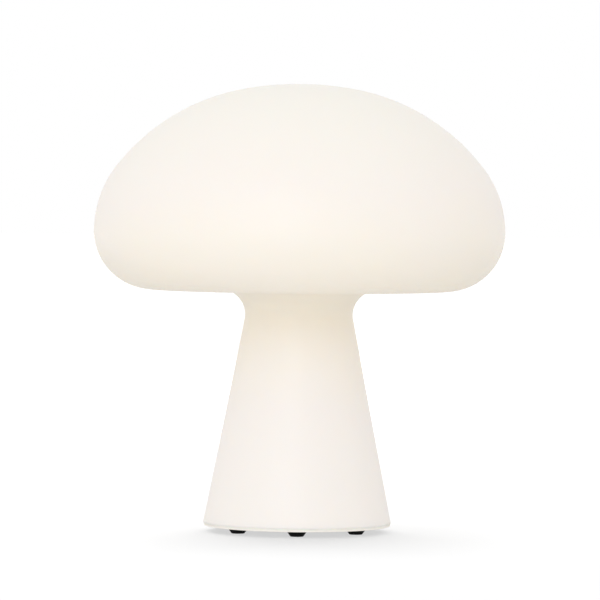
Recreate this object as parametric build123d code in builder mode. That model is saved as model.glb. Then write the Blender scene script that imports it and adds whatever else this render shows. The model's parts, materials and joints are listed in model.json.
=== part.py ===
from build123d import *

import math
import os

# All sizes are in millimetres. The lamp stands on the XY plane, with its axis on Z.

# Opal glass body
shade_diameter = 225.0
lamp_height = 245.0
crown_radius = 170.0
crown_angle = 10.0
side_radius = 58.0
side_angle = 52.0
edge_radius = 32.0
neck_fillet = 13.5
neck_gap = 4.4
stem_foot_radius = 51.5
glass_wall = 3.2
glass_foot_round = 0.8
glass_mouth_round = 0.6

# Rubber feet
foot_count = 6
foot_inset = 13.9
foot_top_diameter = 10.6
foot_sole_diameter = 7.4
foot_drop = 3.3
foot_band = 0.8
foot_recess = 0.5
foot_clearance = 0.2
sole_round = 0.4

# Base plate and its gasket
base_reveal = 0.6
flange_thickness = 1.0
flange_land = 0.3
base_edge_round = 0.4
plate_thickness = 2.4
spigot_height = 3.4
spigot_wall = 2.2
spigot_clearance = 0.4
gasket_thickness = 0.3
gasket_reveal = 0.15
rib_thickness = 1.8
moulded_wall = 1.6

# Ring bonded inside the foot of the glass
ring_rise = 1.6
ring_height = 8.0
ring_wall = 3.0
bond_thickness = 0.5
bond_margin = 0.6
lug_wall = 3.0

# Fits shared by several pieces
slip = 0.05
hole_clearance = 0.2
loose_clearance = 0.4

# Screws: shank diameter, head diameter and head height of each size
base_screw_diameter = 3.0
base_screw_head = 5.6
base_screw_head_height = 2.0
base_screw_grip = 5.0
base_screw_cover = 0.3
board_screw_diameter = 2.2
board_screw_head = 4.0
board_screw_head_height = 1.4
board_screw_grip = 4.5
post_screw_diameter = 3.0
post_screw_head = 5.6
post_screw_head_height = 2.0
post_screw_grip = 7.0
head_screw_diameter = 2.5
head_screw_head = 4.4
head_screw_head_height = 1.6
head_screw_grip = 6.0
screw_pilot_depth = 1.0
screw_head_chamfer = 0.4

# Push button on the underside, and its switch
button_offset = 14.5
button_diameter = 14.0
button_clearance = 0.3
button_proud = 0.4
button_dish = 0.5
button_edge_round = 0.5
button_flange_width = 1.7
button_flange_thickness = 1.2
button_play = 0.1
button_travel = 0.8
nub_diameter = 4.4
switch_width = 6.0
switch_height = 3.5
switch_corner = 0.5
plunger_diameter = 3.5
plunger_reach = 1.2
plunger_depth = 1.0
plunger_clearance = 0.1
plunger_chamfer = 0.2

# Charging socket and the finger pocket that it opens into
pocket_width = 14.0
pocket_corner = 2.5
plug_height = 6.5
plug_clearance = 0.45
pocket_start = 2.3
socket_width = 8.94
socket_height = 3.26
socket_depth = 7.3
socket_wall = 0.3
socket_cavity = 6.2
tongue_width = 6.69
tongue_thickness = 0.7
tongue_length = 4.6

# Driver board
board_standoff = 7.3
board_thickness = 1.6
board_length = 28.5
board_width = 30.0
board_corner = 2.0
board_gap = 0.3
standoff_diameter = 5.0
board_screw_margin = 3.0
board_screw_inner_offset = 7.9
tallest_part = 5.0
coil_width = 7.4
coil_height = 4.2
coil_round = 1.6
coil_chamfer = 0.4
capacitor_diameter = 5.0
capacitor_height = 4.6
capacitor_chamfer = 0.3
capacitor_pitch = 6.5
chip_height = 1.0
charge_chip_width = 5.0
driver_chip_width = 3.6
connector_width = 6.2
connector_depth = 4.6
connector_edge = 2.6
connector_chamfer = 0.4
wire_pitch = 2.0
wire_diameter = 1.6

# Light post and battery
pillar_diameter = 6.4
pillar_angle = 60.0
pillar_offset = 4.0
post_wall = 2.0
post_flange = 2.5
post_flange_margin = 5.0
post_shelf = 2.0
post_shelf_width = 3.5
gusset_height = 9.0
gusset_reach = 7.0
gusset_thickness = 2.0
head_rise = 18.0
cell_diameter = 18.4
cell_length = 65.2
cell_edge_round = 0.8
terminal_diameter = 8.4
terminal_height = 1.0
cell_gap = 0.5
cell_clearance = 0.2
tray_wall = 0.85
tray_floor = 2.0
tray_grip = 6.0
tray_notch = 7.6
strip_thickness = 0.3
strip_width = 8.0
strip_tab_width = 2.0
strip_tab_reach = 1.0

# Light head
spreader_thickness = 3.0
spreader_register = 2.5
head_screw_circle = 15.5
head_screw_boss = 4.8
head_screw_boss_height = 12.0
diffuser_wall = 1.6
diffuser_skirt = 4.0
diffuser_inset = 0.3
rim_height = 2.0
rim_thickness = 1.0
led_board_gap = 0.5
led_board_thickness = 1.6
led_count = 6
led_circle = 9.0
led_width = 3.0
led_height = 0.8
lead_arch = 3.6
lead_pad_step = 4.8
lead_pad_drop = 2.6
lead_bend_share = 0.45

# Heights that follow from the sizes above
base_bottom = foot_drop
flange_top = base_bottom + flange_thickness
plate_top = base_bottom + plate_thickness
glass_foot = flange_top + gasket_thickness
spigot_top = flange_top + spigot_height
ring_bottom = spigot_top + ring_rise
ring_top = ring_bottom + ring_height
board_bottom = plate_top + board_standoff
board_top = board_bottom + board_thickness
connector_top = board_top + tallest_part
post_seat = connector_top + loose_clearance
shelf_top = post_seat + post_shelf
lower_strip_bottom = shelf_top + tray_floor
cell_bottom = lower_strip_bottom + strip_thickness
cell_top = cell_bottom + cell_length
upper_strip_top = cell_top + strip_thickness
crown_center = lamp_height - crown_radius
crown_sine = math.sin(math.radians(crown_angle))
crown_cosine = math.cos(math.radians(crown_angle))
side_sine = math.sin(math.radians(side_angle))
side_cosine = math.cos(math.radians(side_angle))
side_width = shade_diameter / 2 - side_radius * (1 - side_sine)
shoulder_radius = (side_width - crown_radius * crown_sine) / (side_sine - crown_sine)
shoulder_inset = crown_radius - shoulder_radius
shoulder_center = (shoulder_inset * crown_sine, crown_center + shoulder_inset * crown_cosine)
widest = shoulder_center[1] + (shoulder_radius - side_radius) * side_cosine
underside = widest - edge_radius
post_top = underside + head_rise
spreader_top = post_top + spreader_thickness
led_board_top = spreader_top + led_board_thickness

# Radii that follow from the sizes above
shade_radius = shade_diameter / 2
cell_offset = (cell_diameter + cell_gap) / 2
tray_radius = cell_offset + cell_diameter / 2 + tray_wall
post_bore = tray_radius + loose_clearance
post_radius = post_bore + post_wall
shelf_bore = post_bore - post_shelf_width
pillar_circle = post_radius + pillar_offset
post_flange_radius = pillar_circle + post_flange_margin
neck_radius = post_radius + neck_gap + glass_wall
fillet_center = neck_radius + neck_fillet
neck_height = underside - neck_fillet
base_radius = stem_foot_radius - base_reveal
foot_circle = base_radius - foot_inset

def on_circle(radius, angles):
    """Points on a circle about the lamp's axis, at angles in degrees."""
    return [(radius * math.cos(math.radians(a)), radius * math.sin(math.radians(a))) for a in angles]


# The stem is the straight line from the glass foot that just touches the neck's fillet
stem_run = fillet_center - stem_foot_radius
stem_climb = neck_height - glass_foot
stem_line = math.atan2(stem_climb, stem_run)
stem_taper = stem_line + math.asin(neck_fillet / math.hypot(stem_run, stem_climb)) - math.pi / 2


def stem_radius(height, depth):
    """Radius of the stem's cone at a height, measured at a depth below the outer skin."""
    bend = neck_fillet + depth
    fall = neck_height - bend * math.sin(stem_taper) - height
    return fillet_center - bend * math.cos(stem_taper) + fall * math.tan(stem_taper)


spigot_radius = stem_radius(spigot_top, glass_wall) - spigot_clearance
ring_bore = stem_radius(ring_top, glass_wall + bond_thickness) - ring_wall
lug_radius = base_screw_diameter / 2 + lug_wall

# Places of the screws, the pocket and the board
foot_angles = [360 * i / foot_count - 90 for i in range(foot_count)]
base_screw_angles = foot_angles[1::2]
pocket_outer_half = pocket_width / 2 + moulded_wall
pocket_reach = math.sqrt((ring_bore - loose_clearance) ** 2 - pocket_outer_half**2)
pocket_end = pocket_reach - moulded_wall
socket_center = board_bottom - socket_height / 2
pocket_ceiling = socket_center + plug_height / 2 + plug_clearance
board_right = pocket_start - moulded_wall - board_gap
board_center = board_right - board_length / 2
board_left = board_right - board_length
board_screw_points = [
    (x, side * y)
    for side in (1, -1)
    for x, y in (
        (board_left + board_screw_margin, board_width / 2 - board_screw_margin),
        (board_right - board_screw_margin, board_screw_inner_offset),
    )
]
pillar_angles = [pillar_angle, 180 - pillar_angle, 180 + pillar_angle, -pillar_angle]
pillar_points = on_circle(pillar_circle, pillar_angles)
head_screw_angles = [60.0, 180.0, 300.0]
wire_line = board_width / 2 - connector_edge
wire_center = -(connector_width / 2 + board_gap)
wire_offsets = [wire_center - wire_pitch / 2, wire_center + wire_pitch / 2]

os.makedirs("parts", exist_ok=True)


def finish(piece, name):
    """Label a finished piece and write it as a STEP file."""
    piece.part.label = name
    export_step(piece.part, f"parts/{name}.step")
    print(name, round(piece.part.volume, 1))


def upright(x, y):
    """Section plane that stands at a point of the base, for turned pieces."""
    return Plane(origin=(x, y, 0), x_dir=(1, 0, 0), z_dir=(0, -1, 0))


def screw_group(points, seat, up, diameter, grip, head, head_height):
    """Identical cheese-head screws, whose heads bear on one height and whose shanks point up or down."""
    toward = 1 if up else -1
    with BuildPart() as group:
        with BuildSketch(Plane.XY.offset(seat)):
            with Locations(*points):
                Circle(head / 2)
        extrude(amount=-toward * head_height)
        crowns = group.edges().filter_by(GeomType.CIRCLE).group_by(Axis.Z)[0 if up else -1]
        chamfer(crowns, screw_head_chamfer)
        with BuildSketch(Plane.XY.offset(seat)):
            with Locations(*points):
                Circle(diameter / 2)
        extrude(amount=toward * grip)
    return group


# Blown glass body, cap and stem in one piece
def glass_half(depth, foot):
    """Half section of the glass from its axis out, drawn at a depth below the outer skin."""
    with BuildSketch(Plane.XZ) as half:
        with BuildLine():
            crown = CenterArc((0, crown_center), crown_radius - depth, 90 - crown_angle, crown_angle)
            CenterArc(shoulder_center, shoulder_radius - depth, 90 - side_angle, side_angle - crown_angle)
            CenterArc((shade_radius - side_radius, widest), side_radius - depth, 0, 90 - side_angle)
            edge = CenterArc((shade_radius - edge_radius, widest), edge_radius - depth, 270, 90)
            neck_turn = 90 + math.degrees(stem_taper)
            neck = CenterArc((fillet_center, neck_height), neck_fillet + depth, 90, neck_turn)
            Line(edge @ 0, neck @ 0)
            Polyline(neck @ 1, (stem_radius(foot, depth), foot), (0, foot), crown @ 1)
        make_face()
    return half.sketch


with BuildPart() as glass_body:
    revolve(glass_half(0, glass_foot), axis=Axis.Z)
    revolve(glass_half(glass_wall, glass_foot - flange_thickness), axis=Axis.Z, mode=Mode.SUBTRACT)
    foot_rims = glass_body.edges().filter_by(GeomType.CIRCLE).group_by(Axis.Z)[0].sort_by(SortBy.RADIUS)
    fillet(foot_rims[-1], min(glass_foot_round, glass_wall / 2))
    mouth_rims = glass_body.edges().filter_by(GeomType.CIRCLE).group_by(Axis.Z)[0].sort_by(SortBy.RADIUS)
    fillet(mouth_rims[0], min(glass_mouth_round, glass_wall / 4))
finish(glass_body, "glass_body")

# Silicone gasket between the glass and the base plate
with BuildPart() as foot_gasket:
    with BuildSketch(Plane.XY.offset(flange_top)):
        Circle(base_radius - gasket_reveal)
        Circle(spigot_radius + slip, mode=Mode.SUBTRACT)
    extrude(amount=gasket_thickness)
finish(foot_gasket, "foot_gasket")

# Ring with three screw lugs, bonded inside the foot of the glass
with BuildPart() as mounting_ring:
    with BuildSketch(Plane.XZ):
        with BuildLine():
            Polyline(
                (ring_bore, ring_bottom),
                (stem_radius(ring_bottom, glass_wall + bond_thickness), ring_bottom),
                (stem_radius(ring_top, glass_wall + bond_thickness), ring_top),
                (ring_bore, ring_top),
                close=True,
            )
        make_face()
    revolve(axis=Axis.Z)
    with BuildSketch(Plane.XY.offset(ring_bottom)):
        lug_length = ring_bore + ring_wall / 2 - foot_circle
        with Locations(*on_circle(foot_circle, base_screw_angles)):
            Circle(lug_radius)
        for lug_angle in base_screw_angles:
            with PolarLocations(foot_circle + lug_length / 2, 1, start_angle=lug_angle):
                Rectangle(lug_length, 2 * lug_radius)
    extrude(amount=ring_height)
    with BuildSketch(Plane.XY.offset(ring_bottom)):
        with Locations(*on_circle(foot_circle, base_screw_angles)):
            Circle(base_screw_diameter / 2 + slip)
    extrude(amount=ring_height, mode=Mode.SUBTRACT)
finish(mounting_ring, "mounting_ring")

# Silicone bead that bonds the ring to the glass
with BuildPart() as bond_ring:
    with BuildSketch(Plane.XZ):
        with BuildLine():
            bead_bottom = ring_bottom + bond_margin
            bead_top = ring_top - bond_margin
            Polyline(
                (stem_radius(bead_bottom, glass_wall + bond_thickness - slip), bead_bottom),
                (stem_radius(bead_bottom, glass_wall + slip), bead_bottom),
                (stem_radius(bead_top, glass_wall + slip), bead_top),
                (stem_radius(bead_top, glass_wall + bond_thickness - slip), bead_top),
                close=True,
            )
        make_face()
    revolve(axis=Axis.Z)
finish(bond_ring, "bond_ring")

# Moulded base plate that closes the glass and carries everything inside
screw_head_seat = base_bottom + foot_recess + base_screw_cover + base_screw_head_height
with BuildPart() as base_plate:
    with BuildSketch(Plane.XZ):
        with BuildLine():
            Polyline(
                (0, base_bottom),
                (base_radius, base_bottom),
                (base_radius, flange_top),
                (spigot_radius, flange_top),
                (spigot_radius, spigot_top),
                (spigot_radius - spigot_wall, spigot_top),
                (spigot_radius - spigot_wall, plate_top),
                (0, plate_top),
                close=True,
            )
        make_face()
    revolve(axis=Axis.Z)
    lower_rim = base_plate.edges().filter_by(GeomType.CIRCLE).group_by(Axis.Z)[0]
    fillet(lower_rim, min(base_edge_round, flange_thickness - flange_land))

    # Bosses under the ring's lugs, each tied to the spigot by a rib
    with BuildSketch(Plane.XY.offset(plate_top)):
        with Locations(*on_circle(foot_circle, base_screw_angles)):
            Circle(lug_radius)
    extrude(amount=ring_bottom - plate_top)
    with BuildSketch(Plane.XY.offset(plate_top)):
        rib_length = spigot_radius - spigot_wall / 2 - foot_circle
        for rib_angle in foot_angles:
            with PolarLocations(foot_circle + rib_length / 2, 1, start_angle=rib_angle):
                Rectangle(rib_length, rib_thickness)
    extrude(amount=spigot_top - plate_top)

    # Standoffs under the board, pillars under the light post
    with BuildSketch(Plane.XY.offset(plate_top)):
        with Locations(*board_screw_points):
            Circle(standoff_diameter / 2)
    extrude(amount=board_standoff)
    with BuildSketch(Plane.XY.offset(plate_top)):
        with Locations(*pillar_points):
            Circle(pillar_diameter / 2)
    extrude(amount=post_seat - plate_top)

    # Walls of the charging pocket, then the pocket itself
    with BuildSketch(Plane.XY.offset(plate_top)):
        with Locations(((pocket_start + pocket_end) / 2, 0)):
            RectangleRounded(
                pocket_end - pocket_start + 2 * moulded_wall,
                pocket_width + 2 * moulded_wall,
                pocket_corner + moulded_wall,
            )
    extrude(amount=pocket_ceiling + moulded_wall - plate_top)
    with BuildSketch(Plane.XY.offset(base_bottom)):
        with Locations(((pocket_start + pocket_end) / 2, 0)):
            RectangleRounded(pocket_end - pocket_start, pocket_width, pocket_corner)
    extrude(amount=pocket_ceiling - base_bottom, mode=Mode.SUBTRACT)
    with BuildSketch(Plane.YZ.offset(pocket_start - moulded_wall)):
        with Locations((0, socket_center)):
            SlotOverall(socket_width + 2 * hole_clearance, socket_height + 2 * hole_clearance)
    extrude(amount=moulded_wall, mode=Mode.SUBTRACT)

    # Button hole, foot recesses and screw holes
    with BuildSketch(Plane.XY.offset(base_bottom)):
        with Locations((-button_offset, 0)):
            Circle(button_diameter / 2 + button_clearance)
    extrude(amount=plate_thickness, mode=Mode.SUBTRACT)
    with BuildSketch(Plane.XY.offset(base_bottom)):
        with Locations(*on_circle(foot_circle, foot_angles)):
            Circle(foot_top_diameter / 2 + foot_clearance)
    extrude(amount=foot_recess, mode=Mode.SUBTRACT)
    with BuildSketch(Plane.XY.offset(base_bottom)):
        with Locations(*on_circle(foot_circle, base_screw_angles)):
            Circle(base_screw_head / 2 + hole_clearance)
    extrude(amount=screw_head_seat - base_bottom, mode=Mode.SUBTRACT)
    with BuildSketch(Plane.XY.offset(base_bottom)):
        with Locations(*on_circle(foot_circle, base_screw_angles)):
            Circle(base_screw_diameter / 2 + hole_clearance)
    extrude(amount=ring_bottom - base_bottom, mode=Mode.SUBTRACT)
    with BuildSketch(Plane.XY.offset(board_bottom)):
        with Locations(*board_screw_points):
            Circle(board_screw_diameter / 2 + slip)
    extrude(amount=-(board_screw_grip - board_thickness + screw_pilot_depth), mode=Mode.SUBTRACT)
    with BuildSketch(Plane.XY.offset(post_seat)):
        with Locations(*pillar_points):
            Circle(post_screw_diameter / 2 + slip)
    extrude(amount=-(post_screw_grip - post_flange + screw_pilot_depth), mode=Mode.SUBTRACT)
finish(base_plate, "base_plate")

# Three screws from below, hidden under every other foot
base_screw_length = ring_bottom - screw_head_seat + base_screw_grip
base_screws = screw_group(
    on_circle(foot_circle, base_screw_angles),
    screw_head_seat,
    True,
    base_screw_diameter,
    base_screw_length,
    base_screw_head,
    base_screw_head_height,
)
finish(base_screws, "base_screws")

# Tapered rubber feet, each pressed into its shallow recess
for number, (foot_x, foot_y) in enumerate(on_circle(foot_circle, foot_angles), start=1):
    with BuildPart() as foot:
        with BuildSketch(upright(foot_x, foot_y)) as foot_section:
            with BuildLine():
                Polyline(
                    (0, 0),
                    (foot_sole_diameter / 2, 0),
                    (foot_top_diameter / 2, foot_drop - foot_band),
                    (foot_top_diameter / 2, foot_drop + foot_recess),
                    (0, foot_drop + foot_recess),
                    close=True,
                )
            make_face()
        revolve(axis=Axis((foot_x, foot_y, 0), (0, 0, 1)))
        sole_edge = foot.edges().filter_by(GeomType.CIRCLE).group_by(Axis.Z)[0]
        fillet(sole_edge, sole_round)
    finish(foot, f"foot_{number}")

# Push button with a dished face, held in by its flange
button_face = base_bottom - button_proud
button_flange_bottom = plate_top + button_play
button_flange_top = button_flange_bottom + button_flange_thickness
plunger_tip = board_bottom - switch_height - plunger_reach
with BuildPart() as power_button:
    button_axis = Axis((-button_offset, 0, 0), (0, 0, 1))
    with BuildSketch(upright(-button_offset, 0)):
        with BuildLine():
            dish_radius = button_diameter / 2 - 2 * button_edge_round
            dish = TangentArc((0, button_face + button_dish), (dish_radius, button_face), tangent=(1, 0))
            Polyline(
                dish @ 1,
                (button_diameter / 2, button_face),
                (button_diameter / 2, button_flange_bottom),
                (button_diameter / 2 + button_flange_width, button_flange_bottom),
                (button_diameter / 2 + button_flange_width, button_flange_top),
                (nub_diameter / 2, button_flange_top),
                (nub_diameter / 2, plunger_tip),
                (0, plunger_tip),
                dish @ 0,
            )
        make_face()
    revolve(axis=button_axis)
    face_rim = power_button.edges().filter_by(GeomType.CIRCLE).group_by(Axis.Z)[0].sort_by(SortBy.RADIUS)[-1]
    fillet(face_rim, button_edge_round)
finish(power_button, "power_button")

# Switch under the board, and its plunger
with BuildPart() as tact_switch:
    with BuildSketch(Plane.XY.offset(board_bottom - switch_height)):
        with Locations((-button_offset, 0)):
            RectangleRounded(switch_width, switch_width, switch_corner)
    extrude(amount=switch_height)
    with BuildSketch(Plane.XY.offset(board_bottom - switch_height)):
        with Locations((-button_offset, 0)):
            Circle(plunger_diameter / 2 + plunger_clearance)
    extrude(amount=plunger_depth + button_travel + hole_clearance, mode=Mode.SUBTRACT)
finish(tact_switch, "tact_switch")

with BuildPart() as switch_plunger:
    with BuildSketch(Plane.XY.offset(plunger_tip)):
        with Locations((-button_offset, 0)):
            Circle(plunger_diameter / 2)
    extrude(amount=plunger_reach + plunger_depth)
    chamfer(switch_plunger.edges().group_by(Axis.Z)[0], plunger_chamfer)
finish(switch_plunger, "switch_plunger")

# Driver board on its standoffs
with BuildPart() as driver_board:
    with BuildSketch(Plane.XY.offset(board_bottom)):
        with Locations((board_center, 0)):
            RectangleRounded(board_length, board_width, board_corner)
        with Locations(*board_screw_points):
            Circle(board_screw_diameter / 2 + hole_clearance, mode=Mode.SUBTRACT)
    extrude(amount=board_thickness)
finish(driver_board, "driver_board")

board_screws = screw_group(
    board_screw_points,
    board_top,
    False,
    board_screw_diameter,
    board_screw_grip,
    board_screw_head,
    board_screw_head_height,
)
finish(board_screws, "board_screws")

# Charging socket: a drawn steel shell with a plastic tongue
socket_back = pocket_start - socket_depth
with BuildPart() as charge_socket:
    with BuildSketch(Plane.YZ.offset(socket_back)):
        with Locations((0, socket_center)):
            SlotOverall(socket_width, socket_height)
    extrude(amount=socket_depth)
    with BuildSketch(Plane.YZ.offset(pocket_start)):
        with Locations((0, socket_center)):
            SlotOverall(socket_width - 2 * socket_wall, socket_height - 2 * socket_wall)
    extrude(amount=-socket_cavity, mode=Mode.SUBTRACT)
finish(charge_socket, "charge_socket")

with BuildPart() as socket_tongue:
    with BuildSketch(Plane.YZ.offset(pocket_start - socket_cavity)):
        with Locations((0, socket_center)):
            Rectangle(tongue_width, tongue_thickness)
    extrude(amount=tongue_length)
    fillet(socket_tongue.edges().filter_by(Axis.Z), tongue_thickness / 2)
finish(socket_tongue, "socket_tongue")

# Parts soldered on top of the board
coil_center = -button_offset
with BuildPart() as power_coil:
    with BuildSketch(Plane.XY.offset(board_top)):
        with Locations((coil_center, 0)):
            RectangleRounded(coil_width, coil_width, coil_round)
    extrude(amount=coil_height)
    chamfer(power_coil.edges().group_by(Axis.Z)[-1], coil_chamfer)
finish(power_coil, "power_coil")

chip_row = (wire_line - connector_depth / 2 + coil_width / 2) / 2
with BuildPart() as board_chips:
    with BuildSketch(Plane.XY.offset(board_top)):
        with Locations((coil_center, chip_row)):
            Rectangle(charge_chip_width, charge_chip_width)
        with Locations((coil_center, -chip_row)):
            Rectangle(driver_chip_width, driver_chip_width)
    extrude(amount=chip_height)
finish(board_chips, "board_chips")

capacitor_center = board_left + board_screw_margin
with BuildPart() as capacitors:
    with BuildSketch(Plane.XY.offset(board_top)):
        with Locations((capacitor_center, capacitor_pitch / 2), (capacitor_center, -capacitor_pitch / 2)):
            Circle(capacitor_diameter / 2)
    extrude(amount=capacitor_height)
    chamfer(capacitors.edges().group_by(Axis.Z)[-1], capacitor_chamfer)
finish(capacitors, "capacitors")

# Two-pin connectors, one for the light and one for the battery
for connector_name, side in (("led_connector", 1), ("battery_connector", -1)):
    with BuildPart() as connector:
        with BuildSketch(Plane.XY.offset(board_top)):
            with Locations((wire_center, side * wire_line)):
                Rectangle(connector_width, connector_depth)
        extrude(amount=tallest_part)
        chamfer(connector.edges().group_by(Axis.Z)[-1], connector_chamfer)
    finish(connector, connector_name)

# Light post: a flanged tube on the pillars, up through the neck of the glass
with BuildPart() as light_post:
    with BuildSketch(Plane.XZ):
        with BuildLine():
            Polyline(
                (shelf_bore, post_seat),
                (post_flange_radius, post_seat),
                (post_flange_radius, post_seat + post_flange),
                (post_radius, post_seat + post_flange),
                (post_radius, post_top),
                (post_bore, post_top),
                (post_bore, shelf_top),
                (shelf_bore, shelf_top),
                close=True,
            )
        make_face()
    revolve(axis=Axis.Z)
    for gusset_angle in range(0, 360, 90):
        gusset_plane = Plane.XZ.rotated((0, 0, gusset_angle))
        with BuildSketch(gusset_plane):
            with BuildLine():
                gusset_foot = post_seat + post_flange
                Polyline(
                    (post_radius - post_wall / 2, gusset_foot),
                    (post_radius + gusset_reach, gusset_foot),
                    (post_radius, gusset_foot + gusset_height),
                    (post_radius - post_wall / 2, gusset_foot + gusset_height),
                    close=True,
                )
            make_face()
        extrude(amount=gusset_thickness / 2, both=True)
    with BuildSketch(Plane.XY.offset(post_top - spreader_register - loose_clearance)):
        with Locations(*on_circle(head_screw_circle, head_screw_angles)):
            Circle(head_screw_boss)
    extrude(amount=-head_screw_boss_height)
    with BuildSketch(Plane.XY.offset(post_top)):
        with Locations(*on_circle(head_screw_circle, head_screw_angles)):
            Circle(head_screw_diameter / 2 + slip)
    extrude(amount=-(spreader_register + head_screw_boss_height), mode=Mode.SUBTRACT)
    with BuildSketch(Plane.XY.offset(post_seat)):
        with Locations(*pillar_points):
            Circle(post_screw_diameter / 2 + hole_clearance)
    extrude(amount=post_flange, mode=Mode.SUBTRACT)
finish(light_post, "light_post")

post_screws = screw_group(
    pillar_points,
    post_seat + post_flange,
    False,
    post_screw_diameter,
    post_screw_grip,
    post_screw_head,
    post_screw_head_height,
)
finish(post_screws, "post_screws")


# Battery: two cells between a lower and an upper tray
def cell_tray(floor, toward):
    """Tray for the ends of both cells, with its floor at a height and its rim toward the cells."""
    with BuildPart() as tray:
        with BuildSketch(Plane.XY.offset(floor)):
            Circle(tray_radius)
        extrude(amount=toward * (tray_floor + strip_thickness + tray_grip))
        with BuildSketch(Plane.XY.offset(floor + toward * tray_floor)):
            with GridLocations(2 * cell_offset, 0, 2, 1):
                Circle(cell_diameter / 2 + cell_clearance)
            Rectangle(2 * cell_offset, strip_width + 2 * cell_clearance)
        extrude(amount=toward * (strip_thickness + tray_grip), mode=Mode.SUBTRACT)
        with BuildSketch(Plane.XY.offset(floor)):
            with Locations((wire_center, tray_radius), (wire_center, -tray_radius)):
                Rectangle(tray_notch, 2 * tray_radius - strip_width)
        extrude(amount=toward * (tray_floor + strip_thickness + tray_grip), mode=Mode.SUBTRACT)
    return tray


def cell_strip(bottom, tab_center):
    """Nickel strip across both cells, with a tab that reaches one wire."""
    tab_length = wire_line + strip_tab_reach
    with BuildPart() as strip:
        with BuildSketch(Plane.XY.offset(bottom)):
            Rectangle(2 * cell_offset + terminal_diameter, strip_width)
            with Locations((tab_center, -tab_length / 2)):
                Rectangle(strip_tab_width, tab_length)
        extrude(amount=strip_thickness)
    return strip


finish(cell_tray(shelf_top, 1), "cell_tray_lower")
finish(cell_tray(upper_strip_top + tray_floor, -1), "cell_tray_upper")
finish(cell_strip(lower_strip_bottom, wire_offsets[0]), "cell_strip_lower")
finish(cell_strip(cell_top, wire_offsets[1]), "cell_strip_upper")

for number, cell_x in enumerate((-cell_offset, cell_offset), start=1):
    with BuildPart() as battery_cell:
        with BuildSketch(Plane.XY.offset(cell_bottom)):
            with Locations((cell_x, 0)):
                Circle(cell_diameter / 2)
        extrude(amount=cell_length - terminal_height)
        fillet(battery_cell.edges().filter_by(GeomType.CIRCLE), cell_edge_round)
        with BuildSketch(Plane.XY.offset(cell_top - terminal_height)):
            with Locations((cell_x, 0)):
                Circle(terminal_diameter / 2)
        extrude(amount=terminal_height)
    finish(battery_cell, f"battery_cell_{number}")

# Light head: aluminium spreader, light board and diffuser
diffuser_radius = post_radius - diffuser_inset
rim_radius = diffuser_radius - diffuser_wall - hole_clearance
led_board_radius = rim_radius - rim_thickness - led_board_gap
lead_slot_length = wire_pitch + wire_diameter + 2 * loose_clearance
lead_slot_width = wire_diameter + 2 * loose_clearance
with BuildPart() as heat_spreader:
    with BuildSketch(Plane.XZ):
        with BuildLine():
            Polyline(
                (0, post_top - spreader_register),
                (post_bore - slip, post_top - spreader_register),
                (post_bore - slip, post_top),
                (post_radius, post_top),
                (post_radius, spreader_top),
                (rim_radius, spreader_top),
                (rim_radius, spreader_top + rim_height),
                (rim_radius - rim_thickness, spreader_top + rim_height),
                (rim_radius - rim_thickness, spreader_top),
                (0, spreader_top),
                close=True,
            )
        make_face()
    revolve(axis=Axis.Z)
    with BuildSketch(Plane.XY.offset(spreader_top)):
        with Locations(*on_circle(head_screw_circle, head_screw_angles)):
            Circle(head_screw_diameter / 2 + hole_clearance)
        with Locations((wire_center, wire_line)):
            SlotOverall(lead_slot_length, lead_slot_width)
    extrude(amount=-(spreader_thickness + spreader_register), mode=Mode.SUBTRACT)
finish(heat_spreader, "heat_spreader")

with BuildPart() as led_board:
    with BuildSketch(Plane.XY.offset(spreader_top)):
        Circle(led_board_radius)
        with Locations(*on_circle(head_screw_circle, head_screw_angles)):
            Circle(head_screw_diameter / 2 + hole_clearance, mode=Mode.SUBTRACT)
        with Locations((wire_center, wire_line)):
            SlotOverall(lead_slot_length, lead_slot_width, mode=Mode.SUBTRACT)
    extrude(amount=led_board_thickness)
finish(led_board, "led_board")

with BuildPart() as led_chips:
    with BuildSketch(Plane.XY.offset(led_board_top)):
        Rectangle(led_width, led_width)
        with PolarLocations(led_circle, led_count):
            Rectangle(led_width, led_width)
    extrude(amount=led_height)
finish(led_chips, "led_chips")

head_screws = screw_group(
    on_circle(head_screw_circle, head_screw_angles),
    led_board_top,
    False,
    head_screw_diameter,
    led_board_thickness + spreader_thickness + spreader_register + head_screw_grip,
    head_screw_head,
    head_screw_head_height,
)
finish(head_screws, "head_screws")


def diffuser_half(depth, foot):
    """Half section of the diffuser dome from its axis out, drawn at a depth below its outer skin."""
    with BuildSketch(Plane.XZ) as half:
        with BuildLine():
            shoulder = spreader_top + diffuser_skirt
            dome = CenterArc((0, shoulder), diffuser_radius - depth, 0, 90)
            Polyline(dome @ 0, (diffuser_radius - depth, foot), (0, foot), dome @ 1)
        make_face()
    return half.sketch


with BuildPart() as diffuser_dome:
    revolve(diffuser_half(0, spreader_top), axis=Axis.Z)
    revolve(diffuser_half(diffuser_wall, spreader_top - rim_height), axis=Axis.Z, mode=Mode.SUBTRACT)
finish(diffuser_dome, "diffuser_dome")


# Leads: insulated wires from the connectors to the light board and to the cells
def insulated_lead(route, bend):
    """Round wire along straight runs with one bend radius at each corner."""
    with BuildPart() as lead:
        with BuildLine() as path:
            if bend:
                FilletPolyline(*route, radius=bend)
            else:
                Line(*route)
        with BuildSketch(Plane(origin=path.line @ 0, z_dir=path.line % 0)):
            Circle(wire_diameter / 2)
        sweep()
    return lead


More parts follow.
